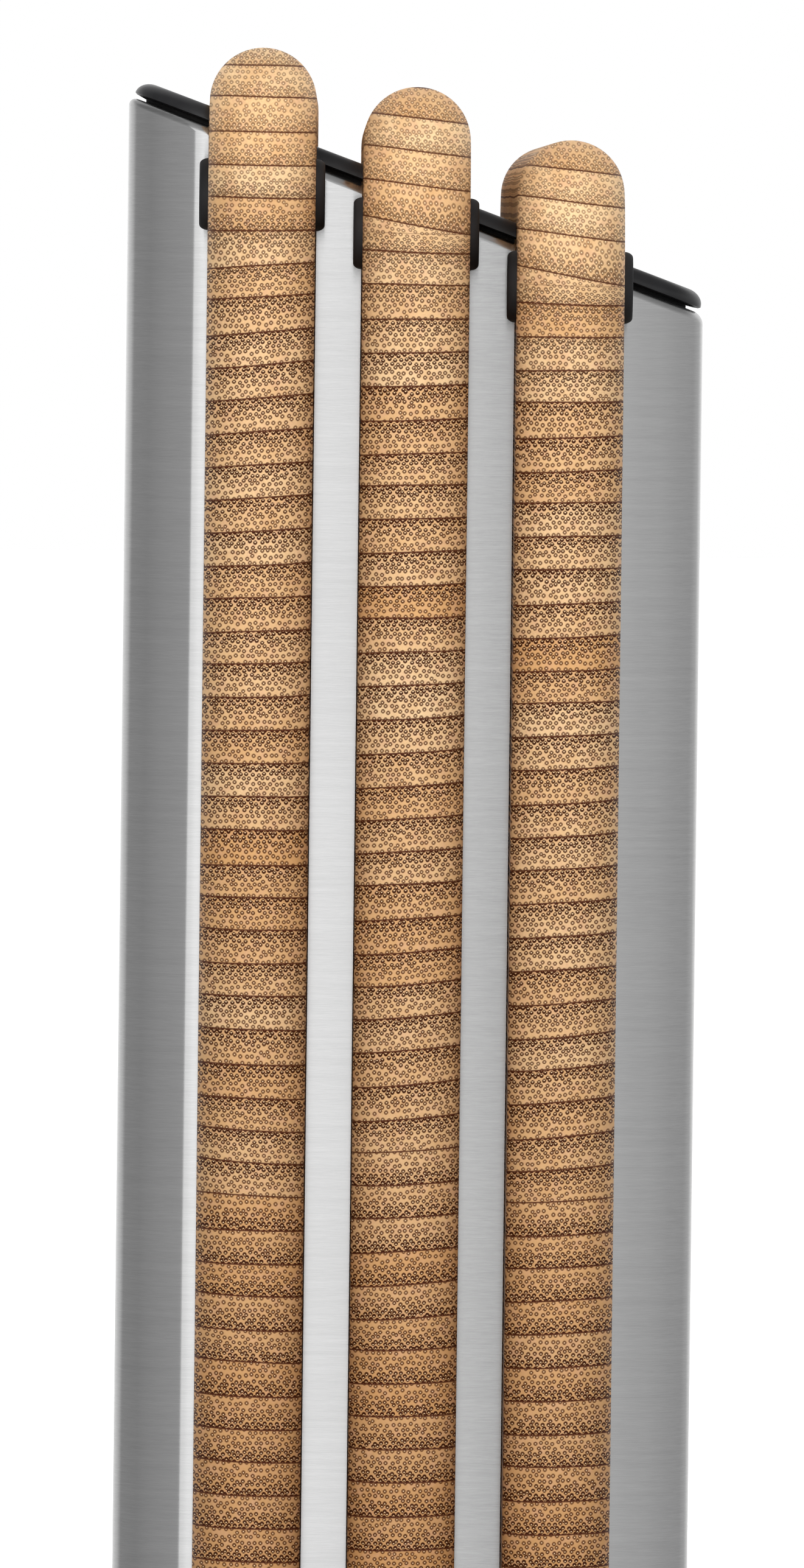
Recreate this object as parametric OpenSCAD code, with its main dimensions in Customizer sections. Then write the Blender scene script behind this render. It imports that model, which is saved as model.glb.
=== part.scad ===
// Cutting-board block: three bamboo boards standing on edge in a stainless-steel housing.
// Frame: millimetres, +Z up, front faces -Y, origin on the ground under the middle of the object.

/* [Boards] */
// Length of a board, front to back
board_length = 350; // [300:1:380]
// Height of a board standing on its long edge
board_height = 260; // [240:1:280]
// Thickness of a board, which is also the diameter of its full-round edge
board_thick = 16; // [14:0.5:18]
// Radius of the corners of a board, seen from its face
board_corner = 22; // [20:0.5:30]
// Distance from one board's middle to the next
board_pitch = 23.1; // [22.5:0.1:26]
// How far the boards stand out of the front wall
front_reach = 30; // [29:0.5:36]
// Distance from the boards' rear ends to the outer face of the back wall
back_room = 12; // [12:0.5:20]

/* [Board heights] */
// Height of the left board's lower edge above the ground
left_rest = 21.7; // [19:0.1:24]
// Height of the centre board's lower edge above the ground
centre_rest = 16.1; // [13:0.1:18]
// Height of the right board's lower edge above the ground
right_rest = 8.4; // [8.4:0.1:11]
// Thickness of the rubber pad under each board
pad_thick = 1.2; // [0.8:0.1:1.2]
// Width of the ribs and pads that the boards stand on
rib_width = 12; // [8:0.5:14]

/* [Rubber feet of the boards] */
// Diameter of a foot
foot_dia = 10.8; // [8:0.1:11]
// How far a foot stands proud of the board's face
foot_proud = 1.4; // [1:0.05:1.4]
// Distance of a foot's middle from the two nearest edges of the board
foot_inset = 22; // [20:0.5:22]
// Diameter of the stem that is pressed into the board
stem_dia = 5; // [4:0.1:6]
// Length of the stem
stem_length = 6; // [4:0.5:6.5]

/* [Housing] */
// Distance from the side guides' outer faces to the shell's outer faces
side_room = 8.4; // [8.4:0.1:12]
// Height of the shell's slanted top edge, at the middle of its width
shell_height = 258.4; // [250:0.1:262]
// Fall of the top from left to right, in degrees
top_slope = 20.2; // [15:0.1:22]
// Outer radius of the upright corners
shell_corner = 12; // [9:0.5:12]
// Thickness of the steel sheet
wall = 1.2; // [0.8:0.1:1.2]
// Width of the turned-in flanges at the top and bottom of the shell, from its outer face
flange_width = 7; // [6:0.1:7]
// Gap on each side of a board in the slots of the front wall
slot_gap = 0.25; // [0.2:0.05:0.5]
// Gap on each side of the rubber feet inside the housing
channel_gap = 0.5; // [0.4:0.05:0.8]

/* [Cap] */
// Thickness of the moulded cap, whose edge is fully round
cap_thick = 2.4; // [2:0.1:4]
// Distance of the cap's edge inside the shell's edge
cap_inset = 0.7; // [0.7:0.1:1.5]
// Thickness of the gasket under the cap
gasket_thick = 0.5; // [0.4:0.1:1]
// Distance of the gasket's edge inside the shell's edge
gasket_inset = 2.6; // [2:0.1:3]
// Depth of the cap's skirt below the shell's top edge
skirt_depth = 8; // [6:0.5:12]

/* [Base] */
// Thickness of the base tray
tray_thick = 3; // [2.5:0.1:3]
// Height of the shell's lower edge above the ground
ground_gap = 3; // [2.5:0.1:3]
// Diameter of the rubber feet under the base
base_foot_dia = 12; // [9:0.5:12]
// Diameter of the base screws' shanks
screw_dia = 2.9; // [2.5:0.1:3]

/* [Hidden] */
$fn = 96;
LEFT = 0;
CENTRE = 1;
RIGHT = 2;
rest_z = [left_rest, centre_rest, right_rest];
board_x = [-board_pitch, 0, board_pitch];

// Depth: the boards' front ends and the shell's back wall are the two ends of the object
total_depth = board_length + back_room;
front_y = -total_depth / 2;
back_y = total_depth / 2;
board_y = front_y + board_length / 2;
board_end_y = front_y + board_length;
shell_front_y = front_y + front_reach;
shell_depth = back_y - shell_front_y;
shell_y = (shell_front_y + back_y) / 2;

// Channels that the boards slide in: narrow at the front wall, wide enough for the feet behind it
slot_half = board_thick / 2 + slot_gap;
channel_half = board_thick / 2 + foot_proud + channel_gap;
throat_depth = 12;
throat_y = shell_front_y + throat_depth;
channel_end_y = board_end_y + 2.5;

// Guides that stand between the tray and the cap
divider_thick = board_pitch - 2 * channel_half;
side_guide_thick = 2;
side_guide_x = board_pitch + channel_half + side_guide_thick / 2;
guide_front_y = throat_y;
guide_end_y = board_end_y + 1;
tab_length = 24;
tab_depth = 2;
tab_inset = 30;
pocket_gap = 0.1;

// Width of the shell, and the base's heights
shell_width = 2 * (side_guide_x + side_guide_thick / 2 + side_room);
tray_z = ground_gap + wall;
tray_top_z = tray_z + tray_thick;
fit_gap = 0.2;

// Bodies larger than the whole object, used to cut it
cut_size = 2 * (shell_width + shell_depth);
cut_depth = cut_size / 2;
overlap = 1;

// The cap, with its thicknesses measured along the slanted top's normal
cap_width = shell_width / cos(top_slope) - 2 * cap_inset;
cap_lift = gasket_thick + cap_thick / 2;
skirt_inset = flange_width + fit_gap;
skirt_thick = 1;

// Ribs of the tray and the pads on them
rib_front_y = shell_front_y + wall + fit_gap + 1;
rib_end_y = board_end_y - board_corner;
pad_margin = 1;

// Snap hooks of the cap, and the screws of the base, in rows along the two long sides
row_y = [-106, 0, 106];
hook_length = 8;
hook_reach = 1.2;
hook_height = 2;
screw_x = shell_width / 2 - (wall + flange_width) / 2;
screw_head_dia = 5.6;
screw_head_height = 1.6;
screw_length = 9;
screw_hole_gap = 0.25;
drive_length = 3.2;
drive_width = 0.7;
drive_depth = 1;
boss_dia = 5.4;
boss_height = 6;

// Rubber feet
foot_edge = 0.9 * foot_proud;
base_foot_edge = 1.2;
base_foot_stem = 2.4;
base_foot_x = shell_width / 2 - flange_width - base_foot_dia / 2 - 1;
base_foot_front_y = shell_front_y + flange_width + base_foot_dia / 2 + 3;
base_foot_rear_y = back_y - flange_width - base_foot_dia / 2 - 3;

// ---- Shapes that repeat ----

// Upright block with round vertical corners, centred on X and Y, standing on z = 0
module rounded_block(width, depth, height, corner) {
    translate([-width / 2 + corner, -depth / 2, 0])
        cube([width - 2 * corner, depth, height]);
    translate([-width / 2, -depth / 2 + corner, 0])
        cube([width, depth - 2 * corner, height]);
    for (x = [-1, 1], y = [-1, 1])
        translate([x * (width / 2 - corner), y * (depth / 2 - corner), 0])
            cylinder(r = corner, h = height);
}

// Ring of round section, lying flat
module ring(radius, section) {
    rotate_extrude()
        translate([radius, 0])
            circle(r = section);
}

// Flat slab whose whole edge is rounded over with half its thickness, centred on the origin
module bullnose_slab(length, width, thick, corner) {
    edge = thick / 2;
    translate([0, 0, -edge])
        rounded_block(length - thick, width - thick, thick, corner - edge);
    for (side = [-1, 1]) {
        translate([-length / 2 + corner, side * (width / 2 - edge), 0])
            rotate([0, 90, 0])
                cylinder(r = edge, h = length - 2 * corner);
        translate([side * (length / 2 - edge), width / 2 - corner, 0])
            rotate([90, 0, 0])
                cylinder(r = edge, h = width - 2 * corner);
    }
    for (x = [-1, 1], y = [-1, 1])
        translate([x * (length / 2 - corner), y * (width / 2 - corner), 0])
            ring(corner - edge, edge);
}

// Round foot with a rounded rim, its face up, and a stem below
module rubber_foot(dia, height, edge, stem, stem_depth) {
    cylinder(d = dia, h = height - edge);
    cylinder(d = dia - 2 * edge, h = height);
    intersection() {
        translate([0, 0, height - edge])
            ring(dia / 2 - edge, edge);
        cylinder(d = dia + 2 * overlap, h = height + overlap);
    }
    translate([0, 0, -stem_depth])
        cylinder(d = stem, h = stem_depth);
}

// Puts its children on the slanted top plane: x runs down the slope, z is the plane's normal
module on_slope(lift = 0) {
    translate([0, 0, shell_height])
        rotate([0, top_slope, 0])
            translate([0, 0, lift])
                children();
}

// Everything above the slanted plane that lies the given distance over the shell's top edge
module above_slope(lift = 0) {
    on_slope(lift)
        translate([-cut_size / 2, -cut_size / 2, 0])
            cube([cut_size, cut_size, cut_depth]);
}

// Everything below that plane
module below_slope(lift = 0) {
    on_slope(lift)
        translate([-cut_size / 2, -cut_size / 2, -cut_depth])
            cube([cut_size, cut_size, cut_depth]);
}

// A column of the housing's plan shape, drawn in from the outer face by the given distance
module housing_column(inset, z, height) {
    translate([0, shell_y, z])
        rounded_block(shell_width - 2 * inset, shell_depth - 2 * inset, height, shell_corner - inset);
}

// The space that board i and its feet slide up through
module channel(i) {
    foot_z = rest_z[i] + board_thick / 2;
    translate([board_x[i], 0, 0]) {
        translate([-slot_half, front_y, foot_z])
            cube([2 * slot_half, throat_y - front_y, cut_depth]);
        translate([0, throat_y, foot_z])
            rotate([90, 0, 0])
                cylinder(r = slot_half, h = throat_y - front_y);
        translate([-channel_half, throat_y - overlap, rest_z[i]])
            cube([2 * channel_half, channel_end_y - throat_y + overlap, cut_depth]);
    }
}

module all_channels() {
    for (i = [LEFT, CENTRE, RIGHT])
        channel(i);
}

// ---- Housing ----

module screw_places() {
    for (side = [-1, 1], y = row_y)
        translate([side * screw_x, shell_y + y, ground_gap])
            children();
}

module steel_shell() {
    color("silver")
        difference() {
            housing_column(0, ground_gap, cut_depth);
            above_slope();
            difference() {
                housing_column(wall, tray_z, cut_depth);
                above_slope(-wall);
            }
            housing_column(flange_width, 0, cut_depth);
            all_channels();
            screw_places()
                translate([0, 0, -overlap])
                    cylinder(d = screw_dia + 2 * screw_hole_gap, h = wall + 2 * overlap);
        }
}

module snap_hooks() {
    skirt_x = shell_width / 2 - skirt_inset;
    for (side = [-1, 1], y = row_y)
        difference() {
            translate([side * skirt_x, shell_y + y, shell_height])
                cube([2 * hook_reach, hook_length, shell_width], center = true);
            above_slope(-wall - fit_gap);
            below_slope(-wall - fit_gap - hook_height);
        }
}

module cap_skirt() {
    difference() {
        housing_column(skirt_inset, 0, cut_depth);
        housing_column(skirt_inset + skirt_thick, -overlap, cut_depth + 2 * overlap);
        above_slope(cap_lift);
        below_slope(-skirt_depth);
    }
}

module top_cap() {
    color([0.06, 0.06, 0.065])
        difference() {
            union() {
                on_slope(cap_lift)
                    translate([0, shell_y, 0])
                        bullnose_slab(cap_width, shell_depth - 2 * cap_inset, cap_thick, shell_corner);
                cap_skirt();
                snap_hooks();
            }
            all_channels();
        }
}

module cap_gasket() {
    color([0.1, 0.1, 0.1])
        difference() {
            housing_column(gasket_inset, 0, cut_depth);
            housing_column(flange_width, -overlap, cut_depth + 2 * overlap);
            above_slope(gasket_thick);
            below_slope();
            all_channels();
        }
}

// Two tabs under a guide, or the pockets for them when grown a little
module guide_tabs(x, thick, grow = 0) {
    for (y = [guide_front_y + tab_inset, guide_end_y - tab_inset - tab_length])
        translate([x - thick / 2 - grow, y - grow, tray_top_z - tab_depth - grow])
            cube([thick + 2 * grow, tab_length + 2 * grow, tab_depth + 2 * grow]);
}

module every_tab_pocket() {
    for (side = [-1, 1]) {
        guide_tabs(side * side_guide_x, side_guide_thick, pocket_gap);
        guide_tabs(side * board_pitch / 2, divider_thick, pocket_gap);
    }
}

// Rib that carries board i, with its rubber pad on top
module rib(i) {
    translate([board_x[i] - rib_width / 2, rib_front_y, tray_z])
        cube([rib_width, rib_end_y - rib_front_y, rest_z[i] - pad_thick - tray_z]);
}

module base_foot_places() {
    for (x = [-1, 1], y = [base_foot_front_y, base_foot_rear_y])
        translate([x * base_foot_x, y, tray_z])
            children();
}

module base_tray() {
    color([0.12, 0.12, 0.13])
        difference() {
            union() {
                housing_column(wall + fit_gap, tray_z, tray_thick);
                for (i = [LEFT, CENTRE, RIGHT])
                    rib(i);
                screw_places()
                    translate([0, 0, wall])
                        cylinder(d = boss_dia, h = tray_thick + boss_height);
            }
            every_tab_pocket();
            screw_places()
                cylinder(d = screw_dia, h = screw_length + fit_gap);
            base_foot_places()
                translate([0, 0, -overlap])
                    cylinder(d = stem_dia, h = base_foot_stem + overlap);
        }
}

module base_screws() {
    color("gainsboro")
        screw_places() {
            cylinder(d = screw_dia, h = screw_length);
            difference() {
                translate([0, 0, -screw_head_height])
                    cylinder(d = screw_head_dia, h = screw_head_height);
                for (turn = [0, 90])
                    translate([0, 0, -screw_head_height])
                        rotate([0, 0, turn])
                            cube([drive_length, drive_width, 2 * drive_depth], center = true);
            }
        }
}

module base_foot(side, y) {
    color([0.08, 0.08, 0.08])
        translate([side * base_foot_x, y, tray_z])
            mirror([0, 0, 1])
                rubber_foot(base_foot_dia, tray_z, base_foot_edge, stem_dia, base_foot_stem);
}

module base_foot_front_left() { base_foot(-1, base_foot_front_y); }
module base_foot_front_right() { base_foot(1, base_foot_front_y); }
module base_foot_rear_left() { base_foot(-1, base_foot_rear_y); }
module base_foot_rear_right() { base_foot(1, base_foot_rear_y); }

// Upright plate that keeps a channel's width, from the tray up to the underside of the cap
module guide(x, thick) {
    color([0.14, 0.14, 0.15])
        union() {
            difference() {
                translate([x - thick / 2, guide_front_y, tray_top_z])
                    cube([thick, guide_end_y - guide_front_y, cut_depth]);
                above_slope(gasket_thick - fit_gap);
            }
            guide_tabs(x, thick);
        }
}

module left_side_guide() { guide(-side_guide_x, side_guide_thick); }
module left_divider() { guide(-board_pitch / 2, divider_thick); }
module right_divider() { guide(board_pitch / 2, divider_thick); }
module right_side_guide() { guide(side_guide_x, side_guide_thick); }

module rest_pad(i) {
    pad_front_y = rib_front_y + pad_margin;
    pad_end_y = rib_end_y - pad_margin;
    color([0.1, 0.1, 0.1])
        translate([board_x[i] - rib_width / 2 + pad_margin, pad_front_y, rest_z[i] - pad_thick])
            cube([rib_width - 2 * pad_margin, pad_end_y - pad_front_y, pad_thick]);
}

module left_rest_pad() { rest_pad(LEFT); }
module centre_rest_pad() { rest_pad(CENTRE); }
module right_rest_pad() { rest_pad(RIGHT); }

// ---- Boards ----

// The four places on one face of board i, with z pointing out of that face
module foot_places(i, side) {
    for (y = [-1, 1], z = [-1, 1])
        translate([board_x[i] + side * board_thick / 2,
                   board_y + y * (board_length / 2 - foot_inset),
                   rest_z[i] + board_height / 2 + z * (board_height / 2 - foot_inset)])
            rotate([0, side * 90, 0])
                children();
}

module board(i) {
    color([0.82, 0.65, 0.44])
        difference() {
            translate([board_x[i], board_y, rest_z[i] + board_height / 2])
                rotate([90, 0, 90])
                    bullnose_slab(board_length, board_height, board_thick, board_corner);
            for (side = [-1, 1])
                foot_places(i, side)
                    translate([0, 0, -stem_length])
                        cylinder(d = stem_dia, h = stem_length + overlap);
        }
}

module board_feet(i, side) {
    color([0.08, 0.08, 0.08])
        foot_places(i, side)
            rubber_foot(foot_dia, foot_proud, foot_edge, stem_dia, stem_length);
}

module left_board() { board(LEFT); }
module left_board_feet_left() { board_feet(LEFT, -1); }
module left_board_feet_right() { board_feet(LEFT, 1); }
module centre_board() { board(CENTRE); }
module centre_board_feet_left() { board_feet(CENTRE, -1); }
module centre_board_feet_right() { board_feet(CENTRE, 1); }
module right_board() { board(RIGHT); }
module right_board_feet_left() { board_feet(RIGHT, -1); }
module right_board_feet_right() { board_feet(RIGHT, 1); }

steel_shell();
top_cap();
cap_gasket();
base_tray();
base_screws();
base_foot_front_left();
base_foot_front_right();
base_foot_rear_left();
base_foot_rear_right();
left_side_guide();
left_divider();
right_divider();
right_side_guide();
left_rest_pad();
centre_rest_pad();
right_rest_pad();
left_board();
left_board_feet_left();
left_board_feet_right();
centre_board();
centre_board_feet_left();
centre_board_feet_right();
right_board();
right_board_feet_left();
right_board_feet_right();
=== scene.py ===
"""Looks for the cutting-board block: three bamboo boards in a brushed stainless-steel housing.

Lengths are metres unless a name ends in _MM, and angles radians unless a name ends in _DEG or _deg.
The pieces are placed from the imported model's own boxes.
"""
import math

import bmesh
import bpy
from mathutils import Matrix, Vector


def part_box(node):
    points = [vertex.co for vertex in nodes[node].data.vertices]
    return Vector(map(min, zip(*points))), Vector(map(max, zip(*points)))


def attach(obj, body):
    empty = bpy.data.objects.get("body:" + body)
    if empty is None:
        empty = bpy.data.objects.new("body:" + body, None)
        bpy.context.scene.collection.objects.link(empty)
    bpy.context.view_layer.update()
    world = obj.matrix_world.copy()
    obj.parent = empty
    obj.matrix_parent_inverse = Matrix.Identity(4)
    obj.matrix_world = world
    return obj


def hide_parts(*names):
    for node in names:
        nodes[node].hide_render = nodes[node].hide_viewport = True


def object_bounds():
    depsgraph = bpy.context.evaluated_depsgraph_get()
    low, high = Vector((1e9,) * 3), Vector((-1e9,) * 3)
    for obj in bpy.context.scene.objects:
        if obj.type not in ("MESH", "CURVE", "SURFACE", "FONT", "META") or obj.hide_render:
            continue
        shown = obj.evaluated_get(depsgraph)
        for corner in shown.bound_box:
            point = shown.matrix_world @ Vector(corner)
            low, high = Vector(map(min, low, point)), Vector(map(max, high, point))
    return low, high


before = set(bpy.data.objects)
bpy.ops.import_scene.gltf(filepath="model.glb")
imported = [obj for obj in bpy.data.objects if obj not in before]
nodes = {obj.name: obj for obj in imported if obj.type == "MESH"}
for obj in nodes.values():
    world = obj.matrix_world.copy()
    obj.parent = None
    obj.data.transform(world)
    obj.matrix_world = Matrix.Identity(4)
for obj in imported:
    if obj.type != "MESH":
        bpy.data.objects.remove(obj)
cad_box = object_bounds()

MM = 0.001

# ---- Sizes of the shapes that replace a CAD node ----
WALL = 1.2 * MM
FLANGE = 7 * MM
SHELL_CORNER = 12 * MM
SHELL_TOP_EDGE = 1.5 * MM
SHELL_BOTTOM_EDGE = 1.0 * MM
SHELL_CUT_BEVEL = 0.08 * MM
SLOT_GAP = 0.08 * MM
THROAT_BEHIND_FRONT = 12 * MM
CHANNEL_HALF = 9.9 * MM
CHANNEL_BEHIND_BOARD = 2.5 * MM

GASKET_THICK = 0.5 * MM
CAP_THICK = 2.4 * MM
CAP_INSET = 0.7 * MM
CAP_NOSE_WIDTH = 2.6 * MM
CAP_LIP_HEIGHT = 0.35 * MM
CAP_LIP_WIDTH = 1.1 * MM
CAP_CUT_BEVEL = 0.2 * MM

BOARD_CORNER = 22 * MM
FOOT_RADIUS = 5.4 * MM
FOOT_RIM_WIDTH = 0.9 * MM
FOOT_DISH = 0.10 * MM
STEM_RADIUS = 2.5 * MM
STEM_LENGTH = 5.6 * MM
STEM_TAPER_START = 5.2 * MM

# How far the cutters reach past what they cut
PAST_FRONT = 5 * MM
PAST_TOP = 50 * MM
CUT_OVERLAP = 1 * MM

# ---- Straight steps in each curve, and how smooth the shading is ----
CORNER_STEPS = 14
SHELL_BOTTOM_STEPS = 4
SHELL_TOP_STEPS = 8
CAP_NOSE_STEPS = 10
SLOT_END_STEPS = 24
BOARD_CORNER_STEPS = 16
BOARD_EDGE_STEPS = 28
FOOT_RIM_STEPS = 8
FOOT_SEGMENTS = 64
BEVEL_SEGMENTS = 2
MERGE_DISTANCE = 0.0001 * MM
SMOOTH_DEG = 35
CUT_SMOOTH_DEG = 40
ROUND_SMOOTH_DEG = 50

BOARDS = ("left", "centre", "right")


def middle(node):
    low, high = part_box(node)
    return (low + high) / 2


def size(node):
    low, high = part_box(node)
    return high - low


SHELL_LOW, SHELL_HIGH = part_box("steel_shell")
BOARD_THICK = size("centre_board").x
FOOT_PROUD = middle("left_board").x - BOARD_THICK / 2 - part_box("left_board_feet_left")[0].x

# The side guides end on one slanted plane, which gives the fall of the top
TOP_FALL = (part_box("left_side_guide")[1].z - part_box("right_side_guide")[1].z) / (
    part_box("right_side_guide")[0].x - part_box("left_side_guide")[0].x
)
TOP_SLOPE = math.atan(TOP_FALL)
SHELL_TOP = SHELL_HIGH.z + TOP_FALL * SHELL_LOW.x


# ======== Mesh building ========


def new_object(name, verts, faces, smooth_deg=SMOOTH_DEG):
    """A mesh object, shaded smooth except over edges that turn by more than smooth_deg."""
    mesh = bpy.data.meshes.new(name)
    mesh.from_pydata([tuple(v) for v in verts], [], faces)
    mesh.update()
    draft = bmesh.new()
    draft.from_mesh(mesh)
    bmesh.ops.remove_doubles(draft, verts=draft.verts, dist=MERGE_DISTANCE)
    bmesh.ops.recalc_face_normals(draft, faces=draft.faces)
    draft.to_mesh(mesh)
    draft.free()
    for face in mesh.polygons:
        face.use_smooth = True
    mesh.set_sharp_from_angle(angle=math.radians(smooth_deg))
    obj = bpy.data.objects.new(name, mesh)
    bpy.context.scene.collection.objects.link(obj)
    return obj


def rounded_outline(width, depth, corner, steps=CORNER_STEPS):
    """Points and outward normals round a rounded rectangle, anticlockwise from above."""
    points = []
    for turn, (side_x, side_y) in enumerate(((1, 1), (-1, 1), (-1, -1), (1, -1))):
        centre = Vector((side_x * (width / 2 - corner), side_y * (depth / 2 - corner)))
        for step in range(steps + 1):
            angle = math.radians(90) * (turn + step / steps)
            normal = Vector((math.cos(angle), math.sin(angle)))
            points.append((centre + normal * corner, normal))
    return points


def quarter(steps):
    """Angles of a quarter turn, both ends included."""
    return [math.radians(90) * step / steps for step in range(steps + 1)]


def skin(rings, close_rings=False):
    """Quads between rings of equal length; with close_rings the last ring joins the first again."""
    count = len(rings[0])
    verts = [point for ring in rings for point in ring]
    faces = []
    last = len(rings) if close_rings else len(rings) - 1
    for k in range(last):
        low, high = k * count, ((k + 1) % len(rings)) * count
        for i in range(count):
            j = (i + 1) % count
            faces.append((low + i, low + j, high + j, high + i))
    return verts, faces


def capped_skin(rings):
    """Quads between the rings, with one flat face over the first ring and one over the last."""
    verts, faces = skin(rings)
    count = len(rings[0])
    faces.append(tuple(range(count)))
    faces.append(tuple(len(verts) - count + i for i in range(count)))
    return verts, faces


def lathe(profile, place):
    """Turns (radius, height) pairs about the local z axis, and closes both ends with a flat face."""
    rings = []
    for radius, height in profile:
        ring = []
        for step in range(FOOT_SEGMENTS):
            angle = 2 * math.pi * step / FOOT_SEGMENTS
            ring.append(place @ Vector((radius * math.cos(angle), radius * math.sin(angle), height)))
        rings.append(ring)
    return capped_skin(rings)


def extruded(points, direction):
    """A closed prism of the given points, swept along a vector."""
    count = len(points)
    verts = list(points) + [point + direction for point in points]
    faces = [tuple(range(count)), tuple(range(count, 2 * count))]
    faces += [(i, (i + 1) % count, count + (i + 1) % count, count + i) for i in range(count)]
    return verts, faces


def cut_away(obj, cutters, bevel):
    """Subtracts the cutters, softens the edges they leave, and bakes the result into the mesh."""
    for cutter in cutters:
        step = obj.modifiers.new("cut", "BOOLEAN")
        step.operation = "DIFFERENCE"
        step.solver = "EXACT"
        step.object = cutter
    soft = obj.modifiers.new("soft", "BEVEL")
    soft.width = bevel
    soft.segments = BEVEL_SEGMENTS
    soft.limit_method = "ANGLE"
    soft.angle_limit = math.radians(CUT_SMOOTH_DEG)
    flat = obj.modifiers.new("flat", "WEIGHTED_NORMAL")
    flat.keep_sharp = True
    bpy.context.view_layer.update()
    graph = bpy.context.evaluated_depsgraph_get()
    baked = bpy.data.meshes.new_from_object(obj.evaluated_get(graph))
    obj.modifiers.clear()
    obj.data = baked
    for cutter in cutters:
        bpy.data.objects.remove(cutter)


def finish_piece(obj, body, material, replaced):
    """Gives a piece its material, and puts it on its body in place of a CAD node."""
    obj.data.materials.clear()
    obj.data.materials.append(material)
    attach(obj, body)
    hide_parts(replaced)


# ======== Pieces ========


def top_at(x):
    """Height of the shell's slanted top edge at x."""
    return SHELL_TOP - TOP_FALL * x


def on_top(along, y, lift):
    """The point that lies along down the slanted top from its middle, and lift above it."""
    return Vector((
        along * math.cos(TOP_SLOPE) + lift * math.sin(TOP_SLOPE),
        y,
        SHELL_TOP - along * math.sin(TOP_SLOPE) + lift * math.cos(TOP_SLOPE),
    ))


def slot_cutter(board):
    """U-shaped prism along Y that opens the front wall and the upper flange for one board."""
    low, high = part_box(board + "_board")
    centre_x, half = middle(board + "_board").x, BOARD_THICK / 2 + SLOT_GAP
    centre_z = low.z + BOARD_THICK / 2
    start_y = SHELL_LOW.y - PAST_FRONT
    top = high.z + PAST_TOP
    points = [Vector((centre_x + half, start_y, top)), Vector((centre_x - half, start_y, top))]
    for step in range(SLOT_END_STEPS + 1):
        angle = math.pi + math.pi * step / SLOT_END_STEPS
        points.append(Vector((
            centre_x + half * math.cos(angle),
            start_y,
            centre_z + half * math.sin(angle),
        )))
    run = SHELL_LOW.y + THROAT_BEHIND_FRONT - start_y
    return new_object("slot_cutter", *extruded(points, Vector((0, run, 0))))


def channel_cutter(board):
    """Box that opens the cap for one board and its rubber feet, behind the front wall."""
    low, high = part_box(board + "_board")
    centre_x = middle(board + "_board").x
    start_y = SHELL_LOW.y + THROAT_BEHIND_FRONT - CUT_OVERLAP
    end_y = high.y + CHANNEL_BEHIND_BOARD
    corners = ((-1, start_y), (1, start_y), (1, end_y), (-1, end_y))
    points = [Vector((centre_x + side * CHANNEL_HALF, y, low.z)) for side, y in corners]
    return new_object("channel_cutter", *extruded(points, Vector((0, 0, high.z + PAST_TOP))))


def make_shell():
    """Sheet-metal sleeve with a flange inside at the top and the bottom, and a slot for each board."""
    width, depth = SHELL_HIGH.x - SHELL_LOW.x, SHELL_HIGH.y - SHELL_LOW.y
    centre_y = (SHELL_HIGH.y + SHELL_LOW.y) / 2
    bottom = SHELL_LOW.z
    # Each entry is the distance inside the outer face, the height, and whether it hangs from the top
    profile = [(FLANGE, bottom, False)]
    for angle in quarter(SHELL_BOTTOM_STEPS):
        profile.append((
            SHELL_BOTTOM_EDGE * (1 - math.sin(angle)),
            bottom + SHELL_BOTTOM_EDGE * (1 - math.cos(angle)),
            False,
        ))
    for angle in quarter(SHELL_TOP_STEPS):
        profile.append((
            SHELL_TOP_EDGE * (1 - math.cos(angle)),
            -SHELL_TOP_EDGE * (1 - math.sin(angle)),
            True,
        ))
    profile += [
        (FLANGE, 0, True),
        (FLANGE, -WALL, True),
        (WALL + SHELL_TOP_EDGE / 2, -WALL, True),
        (WALL, -WALL - SHELL_TOP_EDGE, True),
        (WALL, bottom + WALL, False),
        (FLANGE, bottom + WALL, False),
    ]
    rings = []
    for inset, height, hangs in profile:
        ring = []
        for point, normal in rounded_outline(width, depth, SHELL_CORNER):
            place = point - normal * inset
            z = top_at(place.x) + height if hangs else height
            ring.append(Vector((place.x, place.y + centre_y, z)))
        rings.append(ring)
    shell = new_object("shell", *skin(rings, close_rings=True))
    cut_away(shell, [slot_cutter(board) for board in BOARDS], SHELL_CUT_BEVEL)
    return shell


def make_cap():
    """Slanted cover with a rounded nose above a thin lip, open where the boards stand."""
    width = (SHELL_HIGH.x - SHELL_LOW.x) / math.cos(TOP_SLOPE) - 2 * CAP_INSET
    depth = SHELL_HIGH.y - SHELL_LOW.y - 2 * CAP_INSET
    centre_y = (SHELL_HIGH.y + SHELL_LOW.y) / 2
    nose_height = CAP_THICK - CAP_LIP_HEIGHT
    # Pairs of the distance inside the widest outline and the height above the gasket: lip, then nose
    profile = [(CAP_LIP_WIDTH, 0), (CAP_LIP_WIDTH * 0.3, CAP_LIP_HEIGHT * 0.35)]
    for angle in quarter(CAP_NOSE_STEPS):
        profile.append((
            CAP_NOSE_WIDTH * (1 - math.cos(angle)),
            CAP_LIP_HEIGHT + nose_height * math.sin(angle),
        ))
    rings = []
    for inset, height in profile:
        ring = []
        for point, normal in rounded_outline(width, depth, SHELL_CORNER):
            place = point - normal * inset
            ring.append(on_top(place.x, place.y + centre_y, GASKET_THICK + height))
        rings.append(ring)
    cap = new_object("cap", *capped_skin(rings))
    cutters = [slot_cutter(board) for board in BOARDS] + [channel_cutter(board) for board in BOARDS]
    cut_away(cap, cutters, CAP_CUT_BEVEL)
    return cap


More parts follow.
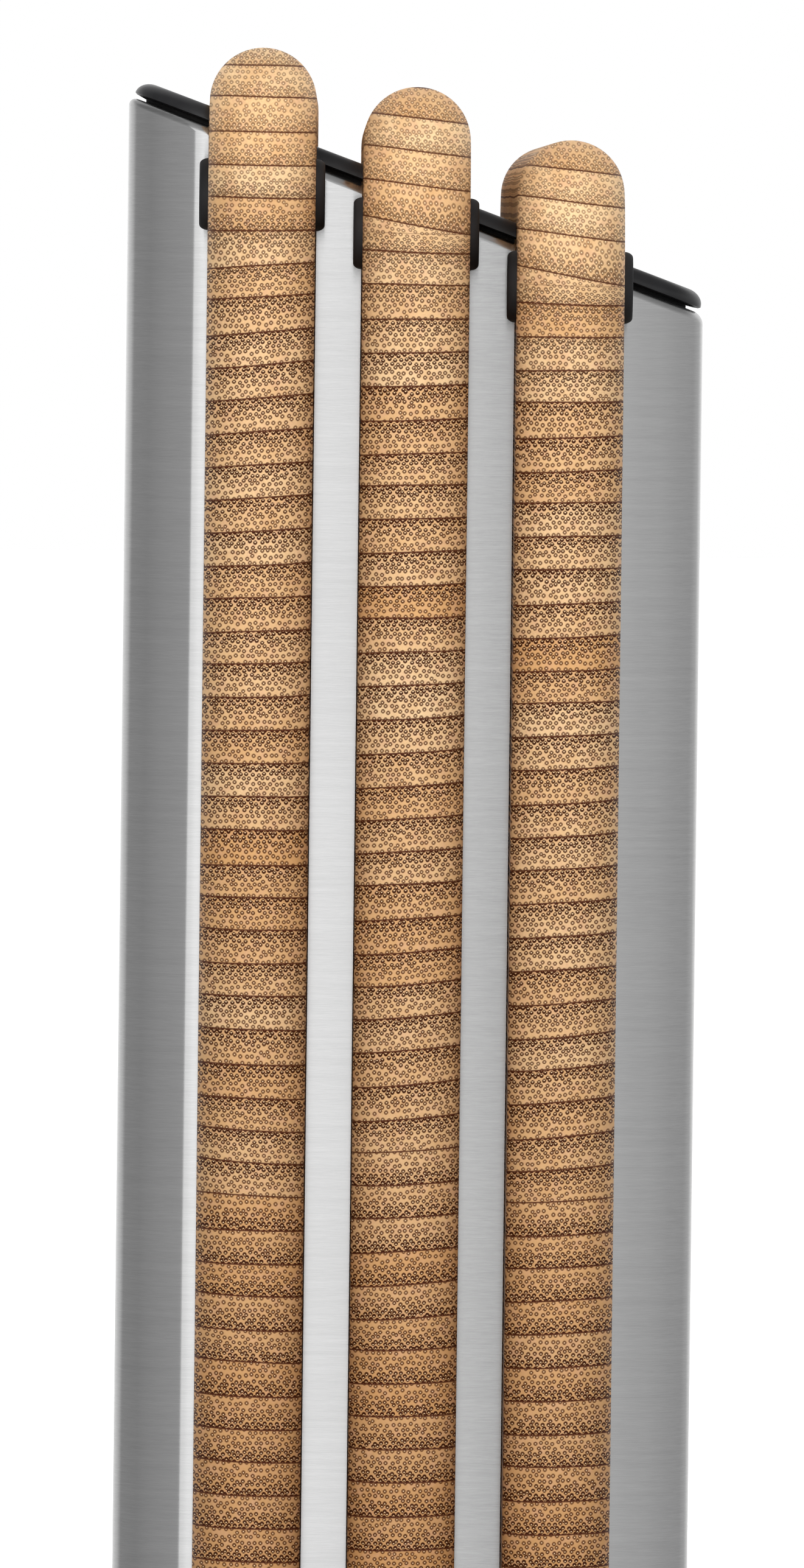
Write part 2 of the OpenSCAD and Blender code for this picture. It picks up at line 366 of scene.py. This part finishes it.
def make_board(board):
    """Flat slab with a full-round edge: a half circle swept round the middle line of the edge."""
    centre, extent = middle(board + "_board"), size(board + "_board")
    edge = extent.x / 2
    path = rounded_outline(
        extent.y - 2 * edge, extent.z - 2 * edge, BOARD_CORNER - edge, BOARD_CORNER_STEPS
    )
    rings = []
    for step in range(BOARD_EDGE_STEPS + 1):
        angle = math.pi * (step / BOARD_EDGE_STEPS - 0.5)
        ring = []
        for point, normal in path:
            place = point + normal * edge * math.cos(angle)
            ring.append(centre + Vector((edge * math.sin(angle), place.x, place.y)))
        rings.append(ring)
    return new_object(board + "_board_wood", *capped_skin(rings), smooth_deg=ROUND_SMOOTH_DEG)


def make_board_feet(board, side):
    """Four rubber feet with a rounded rim, a slight dish and a stem, on one face of a board."""
    node = "{}_board_feet_{}".format(board, side)
    low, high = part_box(node)
    centre = middle(board + "_board")
    sign = -1 if side == "left" else 1
    # Pairs of the radius and the height above the board's face: stem, rim, and a shallow dish
    profile = [
        (STEM_RADIUS * 0.8, -STEM_LENGTH),
        (STEM_RADIUS, -STEM_TAPER_START),
        (STEM_RADIUS, 0),
        (FOOT_RADIUS, 0),
    ]
    for angle in quarter(FOOT_RIM_STEPS):
        profile.append((
            FOOT_RADIUS - FOOT_RIM_WIDTH * (1 - math.cos(angle)),
            FOOT_PROUD * math.sin(angle),
        ))
    profile += [
        (FOOT_RADIUS * 0.4, FOOT_PROUD - FOOT_DISH * 0.7),
        (FOOT_RADIUS * 0.05, FOOT_PROUD - FOOT_DISH),
    ]
    verts, faces = [], []
    for y in (low.y + FOOT_RADIUS, high.y - FOOT_RADIUS):
        for z in (low.z + FOOT_RADIUS, high.z - FOOT_RADIUS):
            place = Matrix.Translation((centre.x + sign * BOARD_THICK / 2, y, z))
            place = place @ Matrix.Rotation(sign * math.radians(90), 4, "Y")
            more_verts, more_faces = lathe(profile, place)
            faces += [tuple(i + len(verts) for i in face) for face in more_faces]
            verts += more_verts
    return new_object("{}_board_rubber_{}".format(board, side), verts, faces, ROUND_SMOOTH_DEG)


# ======== Materials ========


class Num:
    """A shader value that takes part in ordinary arithmetic by adding Math nodes."""

    def __init__(self, shader, socket):
        self.shader = shader
        self.socket = socket

    def __add__(self, other):
        return self.shader.math("ADD", self, other)

    __radd__ = __add__

    def __sub__(self, other):
        return self.shader.math("SUBTRACT", self, other)

    def __rsub__(self, other):
        return self.shader.math("SUBTRACT", other, self)

    def __mul__(self, other):
        return self.shader.math("MULTIPLY", self, other)

    def __truediv__(self, other):
        return self.shader.math("DIVIDE", self, other)

    def __abs__(self):
        return self.shader.math("ABSOLUTE", self)


class Shader:
    """A material's node tree, with short calls for the nodes used here."""

    def __init__(self, name):
        self.material = bpy.data.materials.new(name)
        self.material.use_nodes = True
        self.tree = self.material.node_tree
        self.surface = self.tree.nodes["Principled BSDF"]

    def feed(self, socket, value):
        """Links a node's output to the socket, or sets a plain value on it."""
        if isinstance(value, Num):
            value = value.socket
        if isinstance(value, bpy.types.NodeSocket):
            self.tree.links.new(value, socket)
        elif value is not None:
            socket.default_value = value

    def node(self, kind, inputs=None, **settings):
        made = self.tree.nodes.new(kind)
        for key, value in settings.items():
            setattr(made, key, value)
        for key, value in (inputs or {}).items():
            self.feed(made.inputs[key], value)
        return made

    def math(self, operation, *values):
        made = self.node("ShaderNodeMath", dict(enumerate(values)), operation=operation)
        return Num(self, made.outputs[0])

    def ease(self, value, low, high, to_low=0.0, to_high=1.0):
        """Smooth step from to_low at low to to_high at high; low may lie above high."""
        inputs = dict(enumerate((value, low, high, to_low, to_high)))
        made = self.node("ShaderNodeMapRange", inputs, interpolation_type="SMOOTHSTEP")
        return Num(self, made.outputs[0])

    def curve(self, value, points, top):
        """Value read off a line through (position, level) points, all levels within -top and top."""
        made = self.node("ShaderNodeValToRGB")
        span = points[-1][0] - points[0][0]
        elements = made.color_ramp.elements
        while len(elements) < len(points):
            elements.new(0.5)
        for element, (position, level) in zip(elements, points):
            element.position = (position - points[0][0]) / span
            grey = 0.5 + 0.5 * level / top
            element.color = (grey, grey, grey, 1)
        self.feed(made.inputs[0], (value - points[0][0]) / span)
        return (Num(self, made.outputs["Color"]) - 0.5) * (2 * top)

    def vector(self, x, y, z=0.0):
        return self.node("ShaderNodeCombineXYZ", {"X": x, "Y": y, "Z": z}).outputs[0]

    def parts(self, vector):
        made = self.node("ShaderNodeSeparateXYZ", {"Vector": vector})
        return [Num(self, output) for output in made.outputs]

    def place(self, origin=(0, 0, 0)):
        """The point's own x, y and z in millimetres from an origin given in metres."""
        here = self.parts(self.node("ShaderNodeTexCoord").outputs["Object"])
        return [(axis - start) * (1 / MM) for axis, start in zip(here, origin)]

    def noise(self, vector, scale=1.0, detail=2.0, roughness=0.5):
        inputs = {"Vector": vector, "Scale": scale, "Detail": detail, "Roughness": roughness}
        return Num(self, self.node("ShaderNodeTexNoise", inputs).outputs["Fac"])

    def chance(self, value):
        """A number from 0 to 1 that jumps at random from one input value to the next."""
        made = self.node("ShaderNodeTexWhiteNoise", {"W": value}, noise_dimensions="1D")
        return Num(self, made.outputs["Value"])

    def mix(self, amount, first, second):
        made = self.node("ShaderNodeMix", data_type="RGBA", blend_type="MIX")
        for index, value in ((0, amount), (6, first), (7, second)):
            self.feed(made.inputs[index], value)
        return made.outputs[2]

    def bump(self, height, strength, distance):
        """Roughens the surface by height; distance is the depth that one unit of height stands for."""
        inputs = {"Height": height, "Strength": strength, "Distance": distance}
        made = self.node("ShaderNodeBump", inputs)
        self.feed(self.surface.inputs["Normal"], made.outputs["Normal"])

    def set(self, **values):
        """Feeds the shader's own inputs, named with underscores for spaces."""
        for key, value in values.items():
            self.feed(self.surface.inputs[key.replace("_", " ")], value)


# ---- Bamboo: strips glued one above the other, seen at the board's end ----
STRIP_MM = 4.95
NODE_GAP_MM = 230.0
FIRST_NODE_MM = 25
FIRST_NODE_RANGE_MM = 190
BUNDLE_GAP_MM = 0.44
DENSE_ROW_MM = 0.45
SPARSE_ROW_MM = 0.97
ROWS_APART = 20.0
BUNDLE_SCATTER = 0.42
STRIP_SHIFT_MM = 60

# Distances from a bundle's middle or a line's middle: where it has faded out, and where it is full
BUNDLE_EDGE_MM = (0.38, 0.26)
HOLLOW_EDGE_MM = (0.12, 0.05)
CORE_EDGE_MM = (0.11, 0.04)
CORE_OFFSET_MM = 0.07
GLUE_HALF_MM = (0.08, 0.03)
FAINT_GLUE_HALF_MM = (0.03, 0.02)
NODE_HALF_MM = (2.2, 0.4)

GROUND_DULL = (0.81, 0.505, 0.250, 1)
GROUND_PALE = (0.93, 0.665, 0.380, 1)
GROUND_AMBER = (0.70, 0.360, 0.130, 1)
GROUND_OUTER = (0.56, 0.260, 0.090, 1)
# Painted shade: the darker, redder ground tone laid over the lower part of each board
GROUND_PAINTED_SHADE_LOW = (0.52, 0.225, 0.060, 1)
FIBRE_SPARSE = (0.095, 0.022, 0.004, 1)
FIBRE_DENSE = (0.050, 0.010, 0.002, 1)
CORE_COLOUR = (1.0, 0.88, 0.62, 1)
NODE_COLOUR = (0.33, 0.16, 0.065, 1)
GLUE_COLOUR = (0.085, 0.020, 0.008, 1)

# Layers of noise over the ground, largest first: scale across and along the grain, shift, detail,
# roughness, the levels where the layer begins and is full, its greatest share, and its colour
GROUND_LAYERS = (
    (0.30, 0.03, 0, 3.0, 0.5, 0.42, 0.75, 0.40, (0.64, 0.33, 0.130, 1)),
    (0.55, 0.02, 40, 4.0, 0.6, 0.45, 0.70, 0.45, (0.74, 0.415, 0.265, 1)),
    (5, 0.06, 0, 3.0, 0.6, 0.35, 0.7, 0.25, (0.60, 0.34, 0.16, 1)),
    (3, 0.035, 0, 3.0, 0.6, 0.45, 0.8, 0.20, (0.50, 0.25, 0.10, 1)),
)

# The slope of the glue lines across a board at some depths below its top edge
LEFT_LEAN = (
    (0, 0.0), (24, 0.0), (32, 0.07), (50, 0.10), (115, 0.0), (160, -0.04), (260, 0.0),
)
PAIR_LEAN = (
    (0, -0.09), (18, -0.10), (26, 0.0), (40, 0.03), (150, 0.085), (215, 0.035), (260, 0.03),
)
MOST_LEAN = 0.2
WEDGE_LEAN = 0.09
WEDGE_DROP_MM = 0.8
RANDOM_LEAN = 0.02
RANDOM_DROP_MM = 0.35
WAVER_MM = 0.8
AMBER_MIDDLE_MM = 2.5
AMBER_REACH_MM = 2.4

# How each board is laid up, in millimetres below its top edge: the first glue line, a pale extra one,
# a glue line that tilts more than its neighbours, a depth inside the one redder strip, and the two
# depths between which the strips lie the other way up. seed sets the board's own random numbers.
LAY_UP = {
    "left": {
        "seed": 12.3, "first": 2.7, "faint": 22.0, "wedge": None, "amber": 118.0,
        "lean": LEFT_LEAN, "turns": (24.0, 168.0),
    },
    "centre": {
        "seed": 47.1, "first": 4.9, "faint": 21.9, "wedge": 20.7, "amber": 77.0,
        "lean": PAIR_LEAN, "turns": (20.0, 157.0),
    },
    "right": {
        "seed": 88.6, "first": 4.5, "faint": 21.7, "wedge": 20.5, "amber": 76.5,
        "lean": PAIR_LEAN, "turns": (20.0, 157.0),
    },
}


def fibre_bundles(shader, x, strip, inward, seed):
    """How far a point lies in a dark ring, how far in its pale core, and how crowded its row is.

    Rows run along x. They lie closer together, with darker rings, as inward nears 0.
    """
    growth = SPARSE_ROW_MM - DENSE_ROW_MM
    rate = growth / STRIP_MM
    row = shader.math("LOGARITHM", inward * (growth / DENSE_ROW_MM) + 1, math.e) / rate
    row = row + strip * ROWS_APART
    column = (x + shader.chance(strip + seed) * STRIP_SHIFT_MM) / BUNDLE_GAP_MM + seed
    cells = shader.node("ShaderNodeTexVoronoi", {
        "Vector": shader.vector((column + row) * 0.5, (column - row) * 0.5),
        "Scale": 1.0,
        "Randomness": BUNDLE_SCATTER,
    }, voronoi_dimensions="2D")
    cell_a, cell_b = shader.parts(cells.outputs["Position"])[:2]
    side = (column - cell_a - cell_b) * BUNDLE_GAP_MM
    cell_row = cell_a - cell_b - strip * ROWS_APART
    cell_inward = (shader.math("EXPONENT", cell_row * rate) - 1) * (DENSE_ROW_MM / growth)
    outward = (cell_inward - inward) * STRIP_MM
    dense = shader.ease(cell_inward, 0.7, 0.1)
    reach = shader.math("MAXIMUM", shader.math("SQRT", side * side + outward * outward), 0.001)
    up = outward / reach
    twice = up * up * 2 - 1
    fourfold = twice * twice * 2 - 1

    # The pale core sits off the middle, and the dark cap opposite it is the heavy one
    from_core = outward - dense * CORE_OFFSET_MM
    core_reach = shader.math("SQRT", side * side + from_core * from_core)
    body = shader.ease(reach, *BUNDLE_EDGE_MM)
    hollow = shader.ease(core_reach, *HOLLOW_EDGE_MM)
    lobes = 0.80 + fourfold * 0.20 + twice * 0.10 - up * dense * 0.30
    ring = shader.math("MINIMUM", body * lobes * 1.4, 1.0) * (1 - hollow)
    core = shader.ease(core_reach, *CORE_EDGE_MM) * shader.ease(cell_inward, 0.0, 0.12, 0.1, 1.0)
    return ring, core, dense


def bamboo(board):
    """Laminated bamboo: strips across the height, fibre bundles that run along Y."""
    shader = Shader(board + "_bamboo")
    lay = LAY_UP[board]
    seed = lay["seed"]
    low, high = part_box(board + "_board")
    x, y, z = shader.place((middle(board + "_board").x, low.y, high.z))
    waver = shader.noise(shader.vector(x * 0.05, y * 0.012, z * 0.05), 1.0, 1.0) - 0.5
    down = waver * WAVER_MM - z

    # Glue lines: each leans a little, so the two nearest ones settle which strip a point is in
    def glue_line(number):
        depth = number * STRIP_MM + lay["first"]
        jitter = shader.chance(number + seed) - 0.5
        lean = shader.curve(depth, lay["lean"], MOST_LEAN) + jitter * RANDOM_LEAN
        if lay["wedge"]:
            here = shader.ease(abs(depth - lay["wedge"]), 0.5 * STRIP_MM, 0.5 * STRIP_MM - 0.01)
            lean = lean - here * WEDGE_LEAN
            depth = depth + here * WEDGE_DROP_MM
        return depth + jitter * RANDOM_DROP_MM - x * lean

    guess = shader.math("FLOOR", (down - lay["first"]) / STRIP_MM)
    above = shader.math("LESS_THAN", down, glue_line(guess))
    below = shader.math("GREATER_THAN", down, glue_line(guess + 1))
    strip = guess - above + below
    upper, lower = glue_line(strip), glue_line(strip + 1)
    across = (down - upper) / (lower - upper)
    depth = strip * STRIP_MM + lay["first"]
    first_turn, last_turn = lay["turns"]
    from_middle = abs(depth - (first_turn + last_turn) / 2)
    turned = shader.math("GREATER_THAN", from_middle, (last_turn - first_turn) / 2)
    # 0 on the side of the strip that was the culm's outside, 1 on its inside
    inward = abs(turned - across)
    ring, core, dense = fibre_bundles(shader, x, strip, inward, seed)

    # Ground tissue: one tone per strip, redder towards the culm's outside, and darker and redder down
    # the board, which is painted shade for the light that falls off lower down.
    # The redder strip is the one that holds the depth named amber.
    ground = shader.mix(shader.chance(strip + seed + 3), GROUND_DULL, GROUND_PALE)
    amber = shader.math("LESS_THAN", abs(depth - lay["amber"] + AMBER_MIDDLE_MM), AMBER_REACH_MM)
    tint = shader.chance(strip + seed + 11) * 0.30 + amber * 0.5
    ground = shader.mix(tint, ground, GROUND_AMBER)
    ground = shader.mix(shader.ease(inward, 0.45, 0.0, 0.0, 0.25), ground, GROUND_OUTER)
    # Painted shade: the ground turns darker and redder towards the board's lower end, where less light
    # reaches it
    ground = shader.mix(shader.ease(down, 60.0, 290.0, 0.0, 0.85), ground, GROUND_PAINTED_SHADE_LOW)
    for across_scale, along_scale, shift, detail, roughness, start, full, share, tone in GROUND_LAYERS:
        here = shader.vector(x * across_scale, y * along_scale, z * across_scale + shift)
        cloud = shader.noise(here, 1.0, detail, roughness)
        ground = shader.mix(shader.ease(cloud, start, full, 0.0, share), ground, tone)

    # The culm's nodes: a dark stripe across each strip, at its own place along the board
    first_node = shader.chance(strip + seed + 23) * FIRST_NODE_RANGE_MM + FIRST_NODE_MM
    from_node = abs(shader.math("FRACT", (y - first_node) / NODE_GAP_MM + 0.5) - 0.5) * NODE_GAP_MM
    ground = shader.mix(shader.ease(from_node, *NODE_HALF_MM, 0.0, 0.5), ground, NODE_COLOUR)

    # Fibre bundles, weaker near the board's top edge and towards the culm's inside
    fibre = shader.mix(dense, FIBRE_SPARSE, FIBRE_DENSE)
    from_top = shader.ease(down, 5.0, 45.0, 0.62, 1.0)
    from_inside = shader.ease(inward, 1.0, 0.0, 0.82, 1.0)
    colour = shader.mix(ring * from_inside * from_top, ground, fibre)
    colour = shader.mix(core * 0.6, colour, CORE_COLOUR)

    # Glue lines, with a ragged edge
    ragged = shader.noise(shader.vector(x * 2.2, y * 0.02, strip), 1.0, 2.0) * 0.26
    near = shader.math("MINIMUM", down - upper, lower - down)
    line = shader.ease(near, ragged + GLUE_HALF_MM[0], GLUE_HALF_MM[1], 0.0, 0.95)
    from_faint = abs(down - lay["faint"])
    faint = shader.ease(from_faint, ragged + FAINT_GLUE_HALF_MM[0], FAINT_GLUE_HALF_MM[1], 0.0, 0.40)
    line = shader.math("MAXIMUM", line, faint)
    colour = shader.mix(line, colour, GLUE_COLOUR)

    rough = shader.noise(shader.vector(x, y * 0.2, z), 0.6, 3.0) * 0.14 + 0.42
    shader.set(Base_Color=colour, Roughness=rough, Specular_IOR_Level=0.15)
    shader.bump(core * 0.4 - ring * 0.6 - line, 0.2, 0.04 * MM)
    return shader.material


STEEL_DARK = (0.46, 0.46, 0.46, 1)
STEEL_BRIGHT = (0.94, 0.94, 0.94, 1)
STEEL_ROUGHNESS = 0.17
ZINC_DARK = (0.62, 0.62, 0.60, 1)
ZINC_BRIGHT = (0.78, 0.78, 0.77, 1)
DUST_COLOUR = (0.20, 0.19, 0.18, 1)
FLOOR_DULL = (0.90, 0.90, 0.90, 1)
FLOOR_BRIGHT = (0.93, 0.93, 0.93, 1)
FLOOR_GLOW = 0.92
FINE_BUMP = 0.02 * MM


def brushed_steel():
    """Stainless sheet with a fine grain that runs level round the housing."""
    shader = Shader("brushed_stainless")
    x, y, z = shader.place()
    hair = shader.noise(shader.vector(x * 0.35, y * 0.35, z * 7), 1.0, 4.0, 0.65) - 0.5
    band = shader.noise(shader.vector(x * 0.05, y * 0.05, z * 1.7), 1.0, 2.0) - 0.5
    smudge = shader.noise(shader.vector(x, y, z), 0.02, 3.0, 0.55)
    shade_level = hair * 0.55 + band * 0.22 + 0.5
    colour = shader.mix(shade_level, STEEL_DARK, STEEL_BRIGHT)
    rough = hair * 0.08 + smudge * 0.04 + STEEL_ROUGHNESS
    shader.set(Base_Color=colour, Roughness=rough, Metallic=1.0)
    # The grain runs level, so reflections smear up and down
    shader.set(Anisotropic=1.0, Anisotropic_Rotation=0.25)
    tangent = shader.node("ShaderNodeTangent", direction_type="RADIAL", axis="Z")
    shader.set(Tangent=tangent.outputs[0])
    shader.bump(hair * 0.6 + band * 0.4, 0.10, FINE_BUMP)
    return shader.material


def moulded_black(name, colour, roughness, grain_mm=0.12, specks=0.3):
    """Moulded plastic or rubber: fine pebbles about grain_mm wide, specks of dust, uneven sheen."""
    shader = Shader(name)
    x, y, z = shader.place()
    here = shader.vector(x, y, z)
    pebble = shader.noise(here, 1.0 / grain_mm, 2.0)
    cloud = shader.noise(here, 0.09, 3.0, 0.6)
    dust = shader.ease(shader.noise(here, 2.6, 1.0), 0.70, 0.80, 0.0, specks)
    lighter = tuple(channel * 2.2 + 0.01 for channel in colour[:3]) + (1,)
    mixed = shader.mix(shader.ease(cloud, 0.3, 0.8, 0.0, 0.6), colour, lighter)
    mixed = shader.mix(dust, mixed, DUST_COLOUR)
    rough = (cloud - 0.5) * 0.16 + (pebble - 0.5) * 0.08 + roughness
    shader.set(Base_Color=mixed, Roughness=rough)
    shader.bump(pebble, 0.35, FINE_BUMP)
    return shader.material


def plated_steel():
    """Bright zinc plate with turning marks and faint clouds."""
    shader = Shader("zinc_plate")
    x, y, z = shader.place()
    marks = shader.noise(shader.vector(x, y, z * 12), 2.0, 3.0)
    cloud = shader.noise(shader.vector(x, y, z), 0.5, 3.0)
    colour = shader.mix(cloud, ZINC_DARK, ZINC_BRIGHT)
    shader.set(Base_Color=colour, Roughness=marks * 0.15 + 0.2, Metallic=1.0)
    shader.bump(marks, 0.2, FINE_BUMP)
    return shader.material


def floor_white():
    """Nearly plain white that glows, so that the floor fades into the white surroundings."""
    shader = Shader("floor_white")
    grain = shader.noise(shader.vector(*shader.place()), 0.05, 2.0)
    shader.set(Base_Color=shader.mix(grain, FLOOR_DULL, FLOOR_BRIGHT), Roughness=0.9)
    shader.set(Emission_Color=(1, 1, 1, 1), Emission_Strength=FLOOR_GLOW, Specular_IOR_Level=0.1)
    return shader.material


# ======== Making the pieces ========

steel = brushed_steel()
cap_black = moulded_black("cap_plastic", (0.010, 0.010, 0.011, 1), 0.30, grain_mm=0.25, specks=0.02)
guide_black = moulded_black("guide_plastic", (0.022, 0.022, 0.024, 1), 0.48)
tray_black = moulded_black("tray_plastic", (0.026, 0.026, 0.028, 1), 0.52)
foot_black = moulded_black(
    "foot_rubber_black", (0.013, 0.013, 0.014, 1), 0.62, grain_mm=0.15, specks=0.06
)
pad_black = moulded_black("pad_rubber_black", (0.020, 0.020, 0.020, 1), 0.70)
gasket_black = moulded_black("gasket_rubber_black", (0.006, 0.006, 0.006, 1), 0.75)
zinc = plated_steel()

finish_piece(make_shell(), "housing", steel, "steel_shell")
finish_piece(make_cap(), "housing", cap_black, "top_cap")

for board in BOARDS:
    body = board + "_board"
    finish_piece(make_board(board), body, bamboo(board), body)
    for side in ("left", "right"):
        feet = make_board_feet(board, side)
        finish_piece(feet, body, foot_black, "{}_feet_{}".format(body, side))

# The nodes that are shown as the CAD made them
CAD_LOOKS = {
    "cap_gasket": gasket_black,
    "base_tray": tray_black,
    "base_screws": zinc,
    "base_foot_front_left": foot_black,
    "base_foot_front_right": foot_black,
    "base_foot_rear_left": foot_black,
    "base_foot_rear_right": foot_black,
    "left_side_guide": guide_black,
    "left_divider": guide_black,
    "right_divider": guide_black,
    "right_side_guide": guide_black,
    "left_rest_pad": pad_black,
    "centre_rest_pad": pad_black,
    "right_rest_pad": pad_black,
}
for name, material in CAD_LOOKS.items():
    nodes[name].data.materials.clear()
    nodes[name].data.materials.append(material)

# ======== Studio ========

FLOOR_HALF = 12.0

KEY_X = -0.05
KEY_BEFORE_FRONT = 0.72
KEY_ABOVE_TOP = 0.45
KEY_SIZE = (0.8, 0.6)
KEY_WATTS = 9.0
REAR_ASIDE = 0.9
REAR_BEHIND = 0.9
REAR_HEIGHT = 0.55
REAR_SIZE = (0.7, 0.7)
REAR_WATTS = 9.0
PANEL_X = -0.152
PANEL_BEFORE_FRONT = 0.8
PANEL_HEIGHT = 0.22
PANEL_SIZE = (0.32, 0.9)
PANEL_WATTS = 0.58

CAMERA_X = -12 * MM
CAMERA_BEFORE_FRONT = 3000 * MM
CAMERA_BELOW_BOARD = 24.3 * MM
TARGET_X = -1.21 * MM
TARGET_BELOW_BOARD = 109.3 * MM
CAMERA_ROLL_DEG = 0.69
SENSOR_MM = 36
LENS_MM = 463.6
CLIP_END = 100


def make_floor():
    """Level square under the object."""
    signs = ((-1, -1), (1, -1), (1, 1), (-1, 1))
    corners = [Vector((x * FLOOR_HALF, y * FLOOR_HALF, 0)) for x, y in signs]
    floor = new_object("floor", corners, [(0, 1, 2, 3)])
    floor.data.materials.append(floor_white())
    # Only the camera sees the floor, so the surroundings light and reflect from below as well
    floor.visible_diffuse = False
    floor.visible_glossy = False
    floor.visible_shadow = False


# Brightness of the surroundings by compass direction: 0 is in front of the object, 90 its right side
COMPASS = (
    (-180, 1.0), (-155, 0.75), (-140, 0.60), (-128, 0.33), (-90, 0.33), (-60, 0.40), (-14, 0.48),
    (-7, 0.66), (7, 0.66), (25, 0.62), (55, 0.57), (90, 0.48), (125, 0.42), (145, 0.50),
    (155, 0.70), (180, 1.0),
)
BRIGHTEST = 1.2
# The same by height, as the sine of the elevation: brightest at eye level, under a dim ceiling
HEIGHTS = (
    (-1.0, 0.25), (-0.4, 0.35), (-0.12, 0.82), (0.0, 1.0), (0.25, 0.95), (0.45, 0.48), (1.0, 0.48),
)


def make_world():
    """Surroundings in soft upright bands, and plain white wherever the camera looks past the object."""
    world = bpy.data.worlds.new("studio")
    bpy.context.scene.world = world
    world.use_nodes = True
    tree = world.node_tree

    def node(kind, **settings):
        made = tree.nodes.new(kind)
        for key, value in settings.items():
            setattr(made, key, value)
        return made

    def ramp(source, points, start, end, top):
        """Brightness read off a line through (position, level) points, as a share of top."""
        share = node("ShaderNodeMapRange")
        share.inputs["From Min"].default_value = start
        share.inputs["From Max"].default_value = end
        tree.links.new(source, share.inputs["Value"])
        made = node("ShaderNodeValToRGB")
        elements = made.color_ramp.elements
        while len(elements) < len(points):
            elements.new(0.5)
        for element, (position, level) in zip(elements, points):
            element.position = (position - start) / (end - start)
            element.color = (level / top, level / top, level / top, 1)
        tree.links.new(share.outputs[0], made.inputs[0])
        return made.outputs["Color"]

    direction = node("ShaderNodeSeparateXYZ")
    tree.links.new(node("ShaderNodeTexCoord").outputs["Generated"], direction.inputs[0])
    toward_front = node("ShaderNodeMath", operation="MULTIPLY")
    toward_front.inputs[1].default_value = -1
    tree.links.new(direction.outputs["Y"], toward_front.inputs[0])
    compass = node("ShaderNodeMath", operation="ARCTAN2")
    tree.links.new(direction.outputs["X"], compass.inputs[0])
    tree.links.new(toward_front.outputs[0], compass.inputs[1])
    degrees = node("ShaderNodeMath", operation="DEGREES")
    tree.links.new(compass.outputs[0], degrees.inputs[0])
    around = ramp(degrees.outputs[0], COMPASS, -180, 180, BRIGHTEST)
    upward = ramp(direction.outputs["Z"], HEIGHTS, -1, 1, 1)
    both = node("ShaderNodeMath", operation="MULTIPLY")
    tree.links.new(around, both.inputs[0])
    tree.links.new(upward, both.inputs[1])
    level = node("ShaderNodeMath", operation="MULTIPLY")
    tree.links.new(both.outputs[0], level.inputs[0])
    level.inputs[1].default_value = BRIGHTEST
    path = node("ShaderNodeLightPath")
    strength = node("ShaderNodeMix", data_type="FLOAT")
    tree.links.new(path.outputs["Is Camera Ray"], strength.inputs["Factor"])
    tree.links.new(level.outputs[0], strength.inputs["A"])
    strength.inputs["B"].default_value = 1.0
    tree.links.new(strength.outputs["Result"], tree.nodes["Background"].inputs["Strength"])
    tree.nodes["Background"].inputs["Color"].default_value = (1, 1, 1, 1)


def add_softbox(name, place, target, extent, watts, in_reflections):
    """Area light at place that faces target; extent is its width and height."""
    data = bpy.data.lights.new(name, "AREA")
    data.shape = "RECTANGLE"
    data.size = extent[0]
    data.size_y = extent[1]
    data.energy = watts
    light = bpy.data.objects.new(name, data)
    bpy.context.scene.collection.objects.link(light)
    light.location = place
    light.rotation_mode = "QUATERNION"
    light.rotation_quaternion = (Vector(target) - Vector(place)).to_track_quat("-Z", "Y")
    light.visible_camera = False
    light.visible_glossy = in_reflections


def make_lights():
    """A key light in front, two lights behind for the sides and the back, and a panel to reflect."""
    front = cad_box[0].y
    centre = (cad_box[0] + cad_box[1]) / 2
    key_place = (KEY_X, front - KEY_BEFORE_FRONT, cad_box[1].z + KEY_ABOVE_TOP)
    add_softbox("key_softbox", key_place, centre, KEY_SIZE, KEY_WATTS, False)
    for side, name in ((-1, "rear_left_softbox"), (1, "rear_right_softbox")):
        place = (side * REAR_ASIDE, REAR_BEHIND, REAR_HEIGHT)
        add_softbox(name, place, centre, REAR_SIZE, REAR_WATTS, False)
    # The front wall reflects this panel's right edge, so the steel falls from bright left to dim right
    panel_place = (PANEL_X, front - PANEL_BEFORE_FRONT, PANEL_HEIGHT)
    straight_back = (PANEL_X, 0, PANEL_HEIGHT)
    add_softbox("side_panel", panel_place, straight_back, PANEL_SIZE, PANEL_WATTS, True)


def make_camera():
    """Level with the boards' upper part, a little left of the middle, looking slightly down."""
    front = cad_box[0].y
    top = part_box("left_board")[1].z
    place = Vector((CAMERA_X, front - CAMERA_BEFORE_FRONT, top - CAMERA_BELOW_BOARD))
    target = Vector((TARGET_X, front, top - TARGET_BELOW_BOARD))
    ahead = (target - place).normalized()
    right = ahead.cross(Vector((0, 0, 1))).normalized()
    up = right.cross(ahead)
    roll = math.radians(CAMERA_ROLL_DEG)
    axis_x = right * math.cos(roll) + up * math.sin(roll)
    axis_y = up * math.cos(roll) - right * math.sin(roll)
    data = bpy.data.cameras.new("camera")
    data.sensor_width = SENSOR_MM
    data.lens = LENS_MM
    data.clip_end = CLIP_END
    camera = bpy.data.objects.new("camera", data)
    bpy.context.scene.collection.objects.link(camera)
    axes = Matrix((axis_x, axis_y, -ahead)).transposed()
    camera.matrix_world = Matrix.Translation(place) @ axes.to_4x4()
    bpy.context.scene.camera = camera


make_floor()
make_world()
make_lights()
make_camera()
bpy.context.scene.view_settings.view_transform = "Standard"
